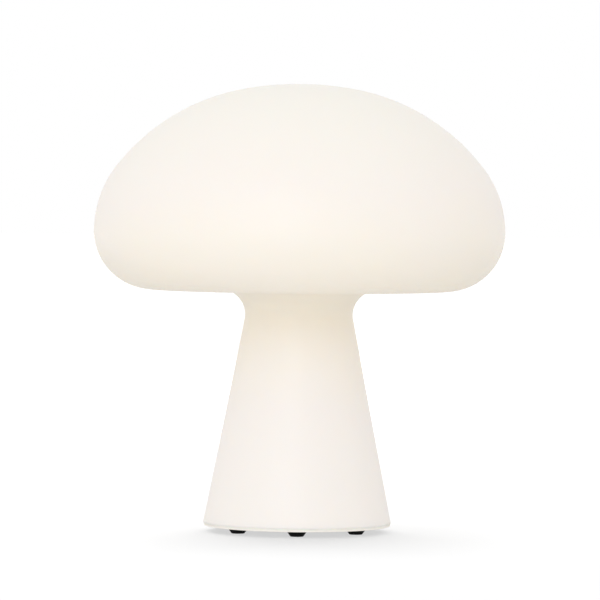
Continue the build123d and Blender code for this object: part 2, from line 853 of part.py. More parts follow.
lead_crest = led_board_top + lead_arch
lead_bend = lead_bend_share * math.hypot(lead_pad_step, lead_pad_drop)
for lead_name, lead_x, step in (
    ("led_lead_black", wire_offsets[0], -lead_pad_step),
    ("led_lead_red", wire_offsets[1], lead_pad_step),
):
    pad = (lead_x + step, wire_line - lead_pad_drop)
    light_lead = insulated_lead(
        [
            (lead_x, wire_line, connector_top),
            (lead_x, wire_line, lead_crest),
            (*pad, lead_crest),
            (*pad, led_board_top),
        ],
        lead_bend,
    )
    finish(light_lead, lead_name)

for lead_name, lead_x, lead_end in (
    ("battery_lead_black", wire_offsets[0], lower_strip_bottom),
    ("battery_lead_red", wire_offsets[1], cell_top),
):
    cell_lead = insulated_lead([(lead_x, -wire_line, connector_top), (lead_x, -wire_line, lead_end)], 0)
    finish(cell_lead, lead_name)
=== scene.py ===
# %% [markdown]
# # A portable lamp of opal glass
# The lamp is a mushroom of blown opal glass, closed from below by a moulded base on six rubber feet. Inside
# are a battery, a driver board and a light head. The imported model already holds every piece at its real
# place, in metres. This lesson gives the pieces their finish, and makes some of them again as smoother or
# finer meshes. We load the model first and keep its box, and at the end we measure the finished one too.

# %% Load the lamp and keep its box
import json
import math

import bmesh
import bpy
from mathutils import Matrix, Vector


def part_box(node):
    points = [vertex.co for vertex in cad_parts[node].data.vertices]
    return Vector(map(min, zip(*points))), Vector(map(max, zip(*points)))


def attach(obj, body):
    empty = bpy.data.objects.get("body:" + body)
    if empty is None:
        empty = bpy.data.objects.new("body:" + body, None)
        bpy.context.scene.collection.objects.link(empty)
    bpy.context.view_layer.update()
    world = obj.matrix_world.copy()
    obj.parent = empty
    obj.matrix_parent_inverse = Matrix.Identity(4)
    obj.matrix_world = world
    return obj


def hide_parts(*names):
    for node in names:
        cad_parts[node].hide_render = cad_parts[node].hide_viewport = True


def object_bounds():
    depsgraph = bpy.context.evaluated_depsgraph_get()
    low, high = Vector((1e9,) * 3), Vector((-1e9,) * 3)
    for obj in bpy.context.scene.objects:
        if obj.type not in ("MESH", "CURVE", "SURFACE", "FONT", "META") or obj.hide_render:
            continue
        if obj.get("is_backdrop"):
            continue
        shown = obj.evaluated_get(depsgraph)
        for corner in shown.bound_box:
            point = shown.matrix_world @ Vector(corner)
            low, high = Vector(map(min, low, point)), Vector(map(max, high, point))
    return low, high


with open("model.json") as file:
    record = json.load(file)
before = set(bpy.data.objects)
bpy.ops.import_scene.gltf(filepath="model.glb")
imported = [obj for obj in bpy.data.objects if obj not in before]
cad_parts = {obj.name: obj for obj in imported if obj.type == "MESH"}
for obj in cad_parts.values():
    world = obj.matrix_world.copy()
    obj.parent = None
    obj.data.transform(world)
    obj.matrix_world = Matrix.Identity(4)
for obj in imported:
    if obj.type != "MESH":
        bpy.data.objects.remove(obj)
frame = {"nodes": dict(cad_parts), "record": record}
cad_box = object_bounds()


def in_mm(lengths):
    """Lengths in millimetres, rounded for printing."""
    return [round(1000 * length, 1) for length in lengths]


print("pieces:", len(frame["nodes"]), "size in mm:", in_mm(cad_box[1] - cad_box[0]))

# %% [markdown]
# ## A helper for node trees
# A material and a geometry tree are both built from nodes and links. One small helper adds a node, applies
# its settings, and then either links a socket or writes a value on it. Sockets go by their label, which
# keeps the trees below readable. The sockets of a math node all have the same label, so they go by number.

# %% Add a node to any tree
def add_node(tree, kind, sockets=None, **settings):
    """Add a node; each given socket is linked if its value is another socket, or else set to that value."""
    node = tree.nodes.new(kind)
    for setting, value in settings.items():
        setattr(node, setting, value)
    for label, value in (sockets or {}).items():
        if isinstance(value, bpy.types.NodeSocket):
            tree.links.new(value, node.inputs[label])
        else:
            node.inputs[label].default_value = value
    return node


print("node helper ready:", add_node.__name__)

# %% [markdown]
# ## Geometry trees
# Bodies that follow a rule are made by Geometry Nodes, in trees with named inputs. Copies inside a tree are
# only references, so every tree ends by making them real and giving them their material. A modifier runs
# the tree, the result is kept as a plain mesh, and the modifier goes.

# %% Start and end a geometry tree
def geometry_tree(name, inputs):
    """An empty geometry tree with named inputs, given as label and socket type."""
    tree = bpy.data.node_groups.new(name, "GeometryNodeTree")
    tree.interface.new_socket("Geometry", in_out="OUTPUT", socket_type="NodeSocketGeometry")
    for label, kind in inputs.items():
        tree.interface.new_socket(label, in_out="INPUT", socket_type=kind)
    return tree, tree.nodes.new("NodeGroupInput").outputs, tree.nodes.new("NodeGroupOutput").inputs


def end_tree(tree, geometry, given, result):
    """Make the copies in a geometry real, give it the tree's material and hand it out."""
    real = add_node(tree, "GeometryNodeRealizeInstances", {"Geometry": geometry})
    finish = add_node(
        tree,
        "GeometryNodeSetMaterial",
        {"Geometry": real.outputs["Geometry"], "Material": given["Material"]},
    )
    tree.links.new(finish.outputs["Geometry"], result["Geometry"])


print("tree helpers ready:", geometry_tree.__name__, end_tree.__name__)

# %% Run a geometry tree
def run_tree(tree, name, sharp_angle, **values):
    """Run a geometry tree and keep its result as a plain mesh object, smooth but for its sharp edges."""
    host = bpy.data.objects.new(name, bpy.data.meshes.new(name))
    bpy.context.scene.collection.objects.link(host)
    modifier = host.modifiers.new("tree", "NODES")
    modifier.node_group = tree
    for item in tree.interface.items_tree:
        if item.in_out == "INPUT":
            modifier[item.identifier] = values[item.name.replace(" ", "_").lower()]
    depsgraph = bpy.context.evaluated_depsgraph_get()
    mesh = bpy.data.meshes.new_from_object(host.evaluated_get(depsgraph), depsgraph=depsgraph)
    host.modifiers.remove(modifier)
    host.data = mesh
    mesh.set_sharp_from_angle(angle=math.radians(sharp_angle))
    print(name, "faces:", len(mesh.polygons), "size in mm:", in_mm(host.dimensions))
    return host


print("tree helper ready:", run_tree.__name__)

# %% [markdown]
# ## Turning a half section round an axis
# Blown glass, rubber feet, gaskets and screws are all bodies of revolution, so they share one tree. A half
# section is drawn as a line of radius and height. The tree sweeps it along a circle, merges the points that
# meet on the axis, and gives the result its material. A Screw modifier could do the same, but the tree has
# named inputs and can be used again inside another tree.

# %% A tree that turns a half section
body_inputs = {
    "Section": "NodeSocketObject",
    "Segments": "NodeSocketInt",
    "Material": "NodeSocketMaterial",
}
spin_radius = 0.1
merge_distance = 1e-6


def turned_tree():
    """Geometry tree that sweeps a section round the Z axis and closes its poles."""
    tree, given, result = geometry_tree("turned_body", body_inputs)
    section = add_node(tree, "GeometryNodeObjectInfo", {"Object": given["Section"]})
    circle = add_node(
        tree, "GeometryNodeCurvePrimitiveCircle", {"Resolution": given["Segments"], "Radius": spin_radius}
    )
    swept = add_node(
        tree,
        "GeometryNodeCurveToMesh",
        {"Curve": circle.outputs["Curve"], "Profile Curve": section.outputs["Geometry"]},
    )
    closed = add_node(
        tree, "GeometryNodeMergeByDistance", {"Geometry": swept.outputs["Mesh"], "Distance": merge_distance}
    )
    smooth = add_node(tree, "GeometryNodeSetShadeSmooth", {"Geometry": closed.outputs["Geometry"]})
    end_tree(tree, smooth.outputs["Geometry"], given, result)
    return tree


turned_body = turned_tree()
print("tree ready:", turned_body.name, "with", len(turned_body.nodes), "nodes")

# %% Draw a half section, and turn it
def section_curve(name, points):
    """Half section for the turning tree, from points of radius and height."""
    curve = bpy.data.curves.new(name, "CURVE")
    curve.dimensions = "3D"
    line = curve.splines.new("POLY")
    line.points.add(len(points) - 1)
    for point, (radius, height) in zip(line.points, points):
        point.co = (radius - spin_radius, -height, 0, 1)
    section = bpy.data.objects.new(name, curve)
    bpy.context.scene.collection.objects.link(section)
    return section


def turn(name, points, segments, sharp_angle, material):
    """A plain mesh object turned from a half section."""
    section = section_curve(name + "_section", points)
    piece = run_tree(
        turned_body, name, sharp_angle, section=section, segments=segments, material=material
    )
    bpy.data.objects.remove(section)
    return piece


print("sections are swept along a circle with a radius of", spin_radius, "m")

# %% [markdown]
# ## Finishes are small node recipes
# Every finish below is procedural: a pattern in the piece's own frame, mostly noise at the size of the real
# grain, drives the colour and the roughness, and nearly always a shallow relief. Photographed textures could
# do it too, but noise needs no file and shows no seam. A few small helpers hold what the recipes share. A
# value that is the same all over the surface goes straight onto the shader, because that survives an export.

# %% Start a finish, and make its noise
def new_finish(name):
    """A new material with its shader, and a point in the piece's own frame."""
    material = bpy.data.materials.new(name)
    material.use_nodes = True
    tree = material.node_tree
    place = add_node(tree, "ShaderNodeTexCoord").outputs["Object"]
    return material, tree, tree.nodes["Principled BSDF"], place


def speckle(tree, place, size, detail=3.0, stretch=(1, 1, 1)):
    """Noise from 0 to 1 with blotches of about a given size, longer along an axis with a small stretch."""
    mapping = add_node(tree, "ShaderNodeMapping", {"Vector": place, "Scale": stretch})
    noise = add_node(
        tree,
        "ShaderNodeTexNoise",
        {"Vector": mapping.outputs["Vector"], "Scale": 1 / size, "Detail": detail},
    )
    return noise.outputs["Fac"]


print("noise helpers ready:", new_finish.__name__, speckle.__name__)

# %% Let a pattern drive the colour
noise_low = 0.3
noise_high = 0.7


def dimmed(tone, share):
    """A tone at a share of its brightness."""
    return [share * part for part in tone]


def tint(tree, shader, factor, *tones, start=noise_low, end=noise_high):
    """Colour the surface through evenly spaced tones as the factor rises from start to end."""
    ramp = add_node(tree, "ShaderNodeValToRGB", {"Fac": factor})
    stops = ramp.color_ramp.elements
    stops[0].position = start
    stops[-1].position = end
    for number in range(1, len(tones) - 1):
        stops.new(start + (end - start) * number / (len(tones) - 1))
    for stop, tone in zip(stops, tones):
        stop.color = (*tone, 1)
    tree.links.new(ramp.outputs["Color"], shader.inputs["Base Color"])


print("noise is used from", noise_low, "to", noise_high)

# %% Let a pattern drive gloss and relief, and set constants
def stretch_noise(tree, noise, low, high):
    """Stretch a noise so that it runs between two numbers."""
    span = add_node(
        tree,
        "ShaderNodeMapRange",
        {"Value": noise, "From Min": noise_low, "From Max": noise_high, "To Min": low, "To Max": high},
    )
    return span.outputs["Result"]


def vary(tree, shader, label, noise, low, high):
    """Let one value of the shader run between two numbers as the noise rises."""
    tree.links.new(stretch_noise(tree, noise, low, high), shader.inputs[label])


def relief(tree, shader, height, depth):
    """Shallow relief of a given depth in metres."""
    bump = add_node(tree, "ShaderNodeBump", {"Height": height, "Distance": depth})
    tree.links.new(bump.outputs["Normal"], shader.inputs["Normal"])


def set_constants(shader, values):
    """Write values that are the same everywhere onto a shader."""
    for label, value in values.items():
        shader.inputs[label].default_value = value


print("finish helpers ready:", vary.__name__, relief.__name__, set_constants.__name__)

# %% [markdown]
# ## Satin opal glass
# Opal glass is milk-white all through, and the outside is etched to a satin skin, so it shines only softly.
# White paint would look chalky: here light enters the skin, scatters and comes out warmer nearby, which
# subsurface scattering gives. The colour also holds painted shade. The cream is painted deepest and warmest
# at the neck, where the cap shades the stem, and paler towards the foot and the crown. So the tone follows
# the height, shifted a little by noise. The etching leaves a grain finer than a millimetre.

# %% Opal glass finish
glass_low, glass_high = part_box("glass_body")
foot_tone = (0.91, 0.855, 0.805)
stem_tone = (0.895, 0.835, 0.785)
# painted shade: the neck tone is a deeper, warmer cream for the shade that the cap casts on the stem
neck_painted_shade_tone = (0.92, 0.84, 0.715)
cap_tone = (0.9, 0.832, 0.768)
crown_tone = (0.905, 0.86, 0.782)


def opal_glass_finish():
    """Cream-white glass with an etched satin skin, with painted shade making it deepest in tone at the neck,
    at half its height.
    """
    material, tree, shader, place = new_finish("satin_opal_glass")
    height = add_node(tree, "ShaderNodeSeparateXYZ", {"Vector": place}).outputs["Z"]
    shade_by_height = add_node(
        tree, "ShaderNodeMapRange", {"Value": height, "From Min": glass_low.z, "From Max": glass_high.z}
    ).outputs["Result"]
    drift = stretch_noise(tree, speckle(tree, place, size=0.07), low=-0.04, high=0.04)
    share = add_node(tree, "ShaderNodeMath", {0: shade_by_height, 1: drift}, operation="ADD").outputs[0]
    etching = speckle(tree, place, size=0.0005, detail=2.0)
    # the tones are laid along the height, so the painted shade sits at the neck
    tint(tree, shader, share, foot_tone, stem_tone, neck_painted_shade_tone, cap_tone, crown_tone, start=0.0, end=1.0)
    vary(tree, shader, "Roughness", etching, low=0.42, high=0.5)
    relief(tree, shader, etching, depth=0.00001)
    scattering = {"Subsurface Weight": 0.3, "Subsurface Radius": (1.0, 0.8, 0.6), "Subsurface Scale": 0.004}
    set_constants(shader, {"IOR": 1.5, **scattering})
    return material


opal_glass = opal_glass_finish()
print("finish:", opal_glass.name)

# %% [markdown]
# ## The blown glass body
# Cap and stem are one bubble of glass, blown into a turned mould, so a half section tells the whole shape.
# The crown is three arcs that flow into each other, then come a rounded edge, a flat underside, a hollow
# curve at the neck and a straight cone down to the foot. A sphere pulled into shape by hand would come
# close, but arcs that meet in line leave no dents in the shine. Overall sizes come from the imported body, and
# the radii are those of the mould. The same outline, drawn again at the depth of the wall, gives the inside.

# %% Sizes of the glass
shade_radius = glass_high.x
glass_foot = glass_low.z
crown_radius = 0.170
crown_angle = 10.0
side_radius = 0.058
side_angle = 52.0
edge_radius = 0.032
neck_radius = 0.0295
neck_fillet = 0.0135
stem_foot_radius = 0.0515
glass_wall = 0.0032
foot_round = 0.0008
mouth_round = 0.0006
print("radius of cap, neck and foot in mm:", in_mm([shade_radius, neck_radius, stem_foot_radius]))

# %% Points along an arc
arc_step = 3.0
fewest_steps = 4


def arc(center, radius, start, sweep):
    """Points on a circular arc from an angle in degrees, anticlockwise for a positive sweep."""
    steps = max(fewest_steps, math.ceil(abs(sweep) / arc_step))
    angles = [math.radians(start + sweep * i / steps) for i in range(steps + 1)]
    return [(center[0] + radius * math.cos(a), center[1] + radius * math.sin(a)) for a in angles]


print("points in a quarter turn:", len(arc((0, 0), edge_radius, 0, 90)))

# %% Centres of the arcs, and the cone of the stem
crown_sine, side_sine = (math.sin(math.radians(a)) for a in (crown_angle, side_angle))
crown_cosine, side_cosine = (math.cos(math.radians(a)) for a in (crown_angle, side_angle))
side_width = shade_radius - side_radius * (1 - side_sine)
shoulder_radius = (side_width - crown_radius * crown_sine) / (side_sine - crown_sine)
shoulder_inset = crown_radius - shoulder_radius
crown_center = (0, glass_high.z - crown_radius)
shoulder_center = (shoulder_inset * crown_sine, crown_center[1] + shoulder_inset * crown_cosine)
widest = shoulder_center[1] + (shoulder_radius - side_radius) * side_cosine
side_center = (shade_radius - side_radius, widest)
edge_center = (shade_radius - edge_radius, widest)
neck_center = (neck_radius + neck_fillet, widest - edge_radius - neck_fillet)

stem_run = neck_center[0] - stem_foot_radius
stem_climb = neck_center[1] - glass_foot
stem_lean = math.asin(neck_fillet / math.hypot(stem_run, stem_climb))
stem_taper = math.atan2(stem_climb, stem_run) + stem_lean - math.pi / 2
taper_degrees = math.degrees(stem_taper)
print("shoulder radius in mm:", in_mm([shoulder_radius]), "taper in degrees:", round(taper_degrees, 2))

# %% Outline of the glass at any depth
def stem_radius(height, depth):
    """Radius of the stem's cone at a height, at a depth below the outer skin."""
    bend = neck_fillet + depth
    fall = neck_center[1] - bend * math.sin(stem_taper) - height
    return neck_center[0] - bend * math.cos(stem_taper) + fall * math.tan(stem_taper)


def glass_skin(depth):
    """Outline from the top of the crown to the end of the neck's curve, at a depth below the outer skin."""
    return [
        *arc(crown_center, crown_radius - depth, 90, -crown_angle)[:-1],
        *arc(shoulder_center, shoulder_radius - depth, 90 - crown_angle, crown_angle - side_angle)[:-1],
        *arc(side_center, side_radius - depth, 90 - side_angle, side_angle - 90)[:-1],
        *arc(edge_center, edge_radius - depth, 0, -90),
        *arc(neck_center, neck_fillet + depth, 90, 90 + taper_degrees),
    ]


print("points in the outer skin:", len(glass_skin(0)))

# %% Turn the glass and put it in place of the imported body
glass_segments = 224
glass_sharp_angle = 60
foot_center = (stem_radius(glass_foot + foot_round, foot_round), glass_foot + foot_round)
foot_arc = arc(foot_center, foot_round, taper_degrees, -90 - taper_degrees)
mouth_depth = glass_wall - mouth_round
mouth_center = (stem_radius(glass_foot + mouth_round, mouth_depth), glass_foot + mouth_round)
mouth_arc = arc(mouth_center, mouth_round, -90, taper_degrees - 90)
glass_points = [*glass_skin(0), *foot_arc, *mouth_arc, *reversed(glass_skin(glass_wall))]
glass_shell = turn("opal_glass_shell", glass_points, glass_segments, glass_sharp_angle, opal_glass)
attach(glass_shell, "lamp")
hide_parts("glass_body")

# %% [markdown]
# ## Moulded plastics
# The base, the button and the carriers inside are injection mouldings. Their moulds are spark eroded, which
# leaves an even, very fine grain on the plastic. One recipe serves them all: only the tone, the roughness
# and the size of the grain change, so it is written once and called for each plastic.

# %% Moulded plastic finishes
mould_spread = 0.06
grain_to_depth = 15


def moulded_plastic(name, tone, rough, grain=0.0004):
    """Plastic with the fine grain of a spark-eroded mould and a slightly uneven tone."""
    material, tree, shader, place = new_finish(name)
    cloud = speckle(tree, place, size=0.015)
    pits = speckle(tree, place, size=grain, detail=1.0)
    tint(tree, shader, cloud, dimmed(tone, share=0.96), tone)
    vary(tree, shader, "Roughness", pits, low=rough - mould_spread, high=rough + mould_spread)
    relief(tree, shader, pits, depth=grain / grain_to_depth)
    return material


finishes = {
    "opal_glass": opal_glass,
    "base_shell": moulded_plastic("base_moulding", (0.94, 0.9, 0.83), rough=0.5),
    "button_shell": moulded_plastic("button_moulding", (0.88, 0.83, 0.75), rough=0.42, grain=0.0003),
    "white_plastic": moulded_plastic("white_carrier_moulding", (0.86, 0.86, 0.84), rough=0.4),
    "black_plastic": moulded_plastic(
        "black_component_moulding", (0.03, 0.03, 0.032), rough=0.55, grain=0.0002
    ),
    "diffuser": moulded_plastic("opal_diffuser_moulding", (0.9, 0.9, 0.87), rough=0.28, grain=0.0006),
}
print("glass and plastics:", sorted(finishes))

# %% [markdown]
# ## Rubber, silicone and wire
# The feet are black rubber with a dusty bloom and hardly any shine. The gasket and the bonding bead are
# milky silicone, softer and a little translucent. The insulation on the wires is drawn through a die, so its
# fine marks run along the wire: stretching the noise along Z gives them.

# %% Rubber and silicone finishes
def black_rubber():
    """Matt black rubber with a faint grey bloom."""
    material, tree, shader, place = new_finish("black_foot_rubber")
    bloom = speckle(tree, place, size=0.0015, detail=5.0)
    skin = speckle(tree, place, size=0.0003)
    tint(tree, shader, bloom, (0.005, 0.005, 0.005), (0.009, 0.009, 0.010))
    vary(tree, shader, "Roughness", skin, low=0.65, high=0.85)
    relief(tree, shader, skin, depth=0.00003)
    set_constants(shader, {"Specular IOR Level": 0.15})
    return material


def milky_silicone():
    """Cream silicone that lets a little light in."""
    material, tree, shader, place = new_finish("milky_silicone")
    cloud = speckle(tree, place, size=0.004)
    tint(tree, shader, cloud, (0.88, 0.82, 0.74), (0.92, 0.87, 0.79))
    vary(tree, shader, "Roughness", cloud, low=0.5, high=0.62)
    relief(tree, shader, speckle(tree, place, size=0.0005), depth=0.00002)
    set_constants(shader, {"Subsurface Weight": 0.2, "Subsurface Scale": 0.001})
    return material


finishes["black_rubber"] = black_rubber()
finishes["silicone"] = milky_silicone()
print("soft finishes:", finishes["black_rubber"].name, finishes["silicone"].name)

# %% Wire finishes
def wire_insulation(name, tone):
    """Drawn insulation with fine marks along the wire."""
    material, tree, shader, place = new_finish(name)
    drawn = speckle(tree, place, size=0.0003, stretch=(1, 1, 0.05))
    tint(tree, shader, drawn, dimmed(tone, share=0.8), tone)
    vary(tree, shader, "Roughness", drawn, low=0.35, high=0.5)
    relief(tree, shader, drawn, depth=0.00001)
    return material


finishes["red_wire"] = wire_insulation("red_insulation", (0.62, 0.04, 0.03))
finishes["black_wire"] = wire_insulation("black_insulation", (0.03, 0.03, 0.03))
print("wires:", finishes["red_wire"].name, finishes["black_wire"].name)

# %% [markdown]
# ## Metals
# A metal has no colour under its shine, so Metallic is 1 and the roughness tells how it was worked. Zinc
# plating on the screws is cloudy. Nickel strip is rolled, with streaks along its length. Capacitor cans are
# drawn upwards. The aluminium spreader is turned on a lathe, and a ring-shaped wave about the lamp's axis
# shows the tool marks.

# %% Plated, rolled and drawn metals
metal_spread = 0.08


def worked_metal(name, tone, rough, size, stretch=(1, 1, 1)):
    """Bare metal whose marks have a size and a direction."""
    material, tree, shader, place = new_finish(name)
    marks = speckle(tree, place, size, stretch=stretch)
    tint(tree, shader, marks, dimmed(tone, share=0.85), tone)
    vary(tree, shader, "Roughness", marks, low=rough - metal_spread, high=rough + metal_spread)
    relief(tree, shader, marks, depth=0.00001)
    set_constants(shader, {"Metallic": 1.0})
    return material


metal_finishes = {
    "steel": worked_metal("zinc_plated_steel", (0.64, 0.64, 0.66), rough=0.34, size=0.0008),
    "nickel": worked_metal(
        "rolled_nickel", (0.72, 0.69, 0.63), rough=0.3, size=0.0006, stretch=(0.06, 1, 1)
    ),
    "capacitor_can": worked_metal(
        "drawn_aluminium_can", (0.78, 0.78, 0.79), rough=0.3, size=0.0005, stretch=(1, 1, 0.08)
    ),
}
finishes.update(metal_finishes)
print("metals:", sorted(metal_finishes))

# %% Turned aluminium
def turned_aluminium():
    """Aluminium with the rings that a lathe tool leaves."""
    material, tree, shader, place = new_finish("turned_aluminium")
    rings = add_node(
        tree,
        "ShaderNodeTexWave",
        {"Vector": place, "Scale": 1000.0, "Distortion": 0.6, "Detail": 2.0},
        wave_type="RINGS",
        rings_direction="Z",
    ).outputs["Fac"]
    tint(tree, shader, rings, (0.7, 0.7, 0.71), (0.8, 0.8, 0.81))
    vary(tree, shader, "Roughness", rings, low=0.28, high=0.42)
    relief(tree, shader, rings, depth=0.00002)
    set_constants(shader, {"Metallic": 1.0})
    return material


finishes["spreader"] = turned_aluminium()
print("finish:", finishes["spreader"].name)

# %% [markdown]
# ## Boards, coil, battery sleeves and light chips
# Under the green or white mask of a board run copper tracks, which lift the mask a little and change its
# tone. They could be drawn one by one, but the glass hides them, and the edges of a cell pattern make such a
# net. The coil is pressed ferrite powder. Each battery cell wears a blue shrink sleeve that stops short of
# its bare steel ends, so the height decides between sleeve and steel. The light chips are phosphor in
# silicone.

# %% Circuit board finishes
def solder_mask(name, mask, over_track):
    """Solder mask over a net of copper tracks."""
    material, tree, shader, place = new_finish(name)
    net = add_node(
        tree, "ShaderNodeTexVoronoi", {"Vector": place, "Scale": 350.0}, feature="DISTANCE_TO_EDGE"
    ).outputs["Distance"]
    track = add_node(
        tree,
        "ShaderNodeMapRange",
        {"Value": net, "From Min": 0.04, "From Max": 0.1, "To Min": 1.0, "To Max": 0.0},
    ).outputs["Result"]
    tint(tree, shader, track, mask, over_track)
    vary(tree, shader, "Roughness", speckle(tree, place, size=0.001), low=0.28, high=0.4)
    relief(tree, shader, track, depth=0.00003)
    return material


finishes["board"] = solder_mask("green_solder_mask", (0.015, 0.12, 0.05), (0.04, 0.24, 0.1))
finishes["light_board"] = solder_mask("white_solder_mask", (0.88, 0.88, 0.86), (0.8, 0.8, 0.77))
print("boards:", finishes["board"].name, finishes["light_board"].name)

# %% Ferrite finish
def pressed_ferrite():
    """Dark grey pressed powder."""
    material, tree, shader, place = new_finish("pressed_ferrite")
    grains = speckle(tree, place, size=0.0003, detail=6.0)
    tint(tree, shader, grains, (0.07, 0.07, 0.075), (0.16, 0.16, 0.165))
    vary(tree, shader, "Roughness", grains, low=0.55, high=0.8)
    relief(tree, shader, grains, depth=0.00005)
    return material


finishes["ferrite"] = pressed_ferrite()
print("finish:", finishes["ferrite"].name)

# %% Battery sleeve finish
def battery_sleeve(low, high, margin):
    """Blue shrink sleeve between two heights, and bare steel at the ends."""
    material, tree, shader, place = new_finish("battery_sleeve")
    height = add_node(tree, "ShaderNodeSeparateXYZ", {"Vector": place}).outputs["Z"]
    sleeved = add_node(
        tree,
        "ShaderNodeMath",
        {0: height, 1: (low + high) / 2, 2: (high - low) / 2 - margin},
        operation="COMPARE",
    ).outputs[0]
    tint(tree, shader, sleeved, (0.62, 0.62, 0.63), (0.05, 0.16, 0.42))
    vary(tree, shader, "Metallic", sleeved, low=1.0, high=0.0)
    vary(tree, shader, "Roughness", speckle(tree, place, size=0.002), low=0.22, high=0.34)
    relief(tree, shader, speckle(tree, place, size=0.006, stretch=(1, 1, 0.3)), depth=0.00005)
    return material


cell_low, cell_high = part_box("battery_cell_1")
finishes["cell_wrap"] = battery_sleeve(cell_low.z, cell_high.z, margin=0.0012)
print("bottom and top of a cell in mm:", in_mm([cell_low.z, cell_high.z]))

# %% Phosphor finish
def phosphor_fill():
    """Yellow phosphor in clear silicone."""
    material, tree, shader, place = new_finish("phosphor")
    powder = speckle(tree, place, size=0.0002)
    tint(tree, shader, powder, (0.88, 0.68, 0.2), (0.95, 0.82, 0.4))
    vary(tree, shader, "Roughness", powder, low=0.2, high=0.35)
    relief(tree, shader, powder, depth=0.00001)
    return material


finishes["phosphor"] = phosphor_fill()
print("finishes in all:", len(finishes))

# %% [markdown]
# ## Gold contacts on the tongue of the socket
# A charging socket has a black plastic tongue with a row of gold contacts along it. Their pitch is half a
# millimetre. A saw-tooth of the width coordinate, cut at its middle, paints the row without a single extra
# face.

# %% Contact tongue finish
def contact_tongue(pitch):
    """Black plastic with gold stripes at a given pitch across the tongue."""
    material, tree, shader, place = new_finish("contact_tongue")
    across = add_node(tree, "ShaderNodeSeparateXYZ", {"Vector": place}).outputs["Y"]
    phase = add_node(tree, "ShaderNodeMath", {0: across, 1: pitch}, operation="FLOORED_MODULO").outputs[0]
    gold = add_node(tree, "ShaderNodeMath", {0: phase, 1: pitch / 2}, operation="GREATER_THAN").outputs[0]
    tint(tree, shader, gold, (0.02, 0.02, 0.02), (0.83, 0.62, 0.24))
    vary(tree, shader, "Metallic", gold, low=0.0, high=1.0)
    vary(tree, shader, "Roughness", speckle(tree, place, size=0.0003), low=0.25, high=0.4)
    return material


tongue_finish = contact_tongue(pitch=0.0005)
print("finish:", tongue_finish.name)

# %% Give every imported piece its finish
for row in frame["record"]["subparts"]:
    frame["nodes"][row["node"]].material_slots[0].material = finishes[row["material_slot"]]
frame["nodes"]["socket_tongue"].material_slots[0].material = tongue_finish

# %% [markdown]
# ## Six rubber feet
# Each foot is a small tapered rubber bumper, pressed into a shallow recess of the base. The six are alike,
# so one section is turned once, copied onto the points of a circle and made real. Six copies placed by hand
# would look the same, but the tree keeps them even. It calls the turning tree as a group, so both stay
# short.

# %% Use the turning tree inside another, and copy a body onto points
def turned_group(tree, given):
    """The turning tree as a group inside another tree, fed by that tree's own inputs."""
    sockets = {label: given[label] for label in body_inputs}
    return add_node(tree, "GeometryNodeGroup", sockets, node_tree=turned_body).outputs["Geometry"]


def copies_on(tree, points, body):
    """A copy of a body on each point."""
    sockets = {"Points": points, "Instance": body}
    return add_node(tree, "GeometryNodeInstanceOnPoints", sockets).outputs["Instances"]


print("tree helpers ready:", turned_group.__name__, copies_on.__name__)

# %% A tree that repeats a turned body round the axis
def ring_tree(first_angle):
    """Geometry tree that stands copies of a turned body on a circle, the first at an angle in degrees."""
    tree, given, result = geometry_tree(
        "turned_ring", {**body_inputs, "Count": "NodeSocketInt", "Circle": "NodeSocketFloat"}
    )
    body = turned_group(tree, given)
    circle = add_node(
        tree, "GeometryNodeMeshCircle", {"Vertices": given["Count"], "Radius": given["Circle"]}
    )
    points = add_node(
        tree,
        "GeometryNodeTransform",
        {"Geometry": circle.outputs["Mesh"], "Rotation": (0, 0, math.radians(first_angle))},
    )
    end_tree(tree, copies_on(tree, points.outputs["Geometry"], body), given, result)
    return tree


foot_ring = ring_tree(first_angle=-90)
print("tree ready:", foot_ring.name, "with", len(foot_ring.nodes), "nodes")

# %% Section of a foot
foot_low, foot_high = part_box("foot_1")
foot_radius = (foot_high.x - foot_low.x) / 2
sole_radius = 0.0037
sole_round = 0.0004
foot_band = 0.0013
band_round = 0.0002
band_low = foot_high.z - foot_band
foot_lean = math.degrees(math.atan2(foot_radius - sole_radius, band_low))
foot_points = [
    (0, foot_high.z),
    *arc((foot_radius - band_round, foot_high.z - band_round), band_round, 90, -90),
    (foot_radius, band_low),
    *arc((sole_radius - sole_round, sole_round), sole_round, -foot_lean, foot_lean - 90),
    (0, 0),
]
print("radius of foot and sole in mm:", in_mm([foot_radius, sole_radius]))

# %% Make the feet
foot_count = 6
foot_names = [f"foot_{number}" for number in range(1, foot_count + 1)]
foot_circle = abs(foot_low.y + foot_high.y) / 2
foot_section = section_curve("foot_section", foot_points)
rubber_feet = run_tree(
    foot_ring,
    "rubber_feet",
    sharp_angle=40,
    section=foot_section,
    segments=64,
    material=finishes["black_rubber"],
    count=foot_count,
    circle=foot_circle,
)
bpy.data.objects.remove(foot_section)
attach(rubber_feet, "lamp")
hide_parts(*foot_names)

# %% [markdown]
# ## The squeezed gasket
# A thin silicone ring seals the base against the glass. When the screws are tightened it is squeezed, and
# its edge swells into the groove under the rounded foot of the glass, so that the joint shows only as a
# faint line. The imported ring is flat. A simulation could squeeze it, but the result is plain enough to draw:
# its section follows the glass for most of that rounding, and then runs down to a small bulge over the rim
# of the base.

# %% Turn the gasket with its swollen edge
gasket_low, gasket_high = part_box("foot_gasket")
gasket_vertices = frame["nodes"]["foot_gasket"].data.vertices
gasket_bore = min(math.hypot(*vertex.co.xy) for vertex in gasket_vertices)
gasket_sharp_angle = 30
base_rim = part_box("base_plate")[1].x
swell = 65.0
bulge = 0.0002
gasket_points = [
    (gasket_bore, gasket_high.z),
    *arc(foot_center, foot_round, -90, swell),
    (base_rim + bulge, gasket_low.z),
    (gasket_bore, gasket_low.z),
    (gasket_bore, gasket_high.z),
]
squeezed_gasket = turn(
    "squeezed_gasket", gasket_points, glass_segments, gasket_sharp_angle, finishes["silicone"]
)
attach(squeezed_gasket, "lamp")
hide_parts("foot_gasket")

